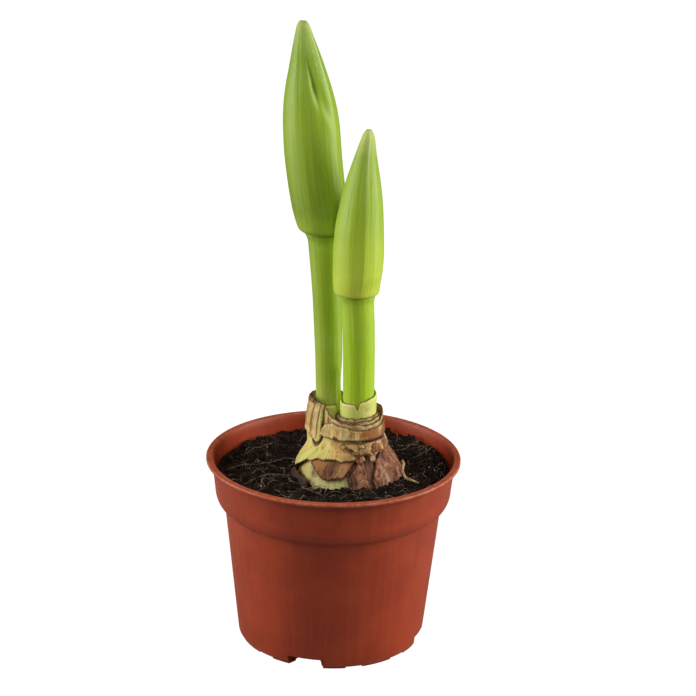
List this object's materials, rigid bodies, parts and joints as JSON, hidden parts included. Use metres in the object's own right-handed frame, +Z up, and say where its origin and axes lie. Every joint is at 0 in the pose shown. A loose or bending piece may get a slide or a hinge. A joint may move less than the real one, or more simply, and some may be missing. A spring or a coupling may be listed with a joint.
{
  "type": "potted amaryllis",
  "caption": "Amaryllis bulb sprouting tall and short budded flower stems from torn papery scales, planted in soil in a tapered terracotta-coloured nursery pot",
  "frame": {"origin": "centre of the pot's round base, on the surface that the pot stands on", "axes": "+Z up along the pot's axis; the front of the plant, where the short stem stands, faces -Y"},
  "size_m": [0.13, 0.13, 0.316],
  "materials": {
    "pot": "satin moulded terracotta-coloured plastic",
    "soil": "damp fibrous peat potting mix; wood stands for its low density",
    "bulb": "waxy cream bulb flesh; wood stands for plant matter",
    "scale": "papery cream and brown cut leaf bases",
    "tunic": "dry reddish-brown papery bulb skin",
    "sheath": "pale green leaf sheath",
    "green": "smooth yellow-green stem; wood stands for plant matter",
    "bract": "glossy olive-green bracts round the buds; wood stands for plant matter",
    "root": "dry pale root"
  },
  "bodies": {
    "root": {"pot": "pot", "soil": "soil", "bulb": "bulb", "scale_band": "scale", "scale_front": "scale", "scale_right": "scale", "tunic_left": "tunic", "tunic_front": "tunic", "tunic_right": "tunic", "tunic_back": "tunic", "dry_scale": "tunic", "sheath_tall": "sheath", "collar_tall": "scale", "sheath_short": "sheath", "cut_ring_inner": "scale", "cut_ring_middle": "scale", "cut_ring_outer": "scale", "stem_tall": "green", "stem_short": "green", "bud_tall": "bract", "bud_short": "bract", "leaf_tip": "green", "dry_root": "root"}
  },
  "joints": []
}
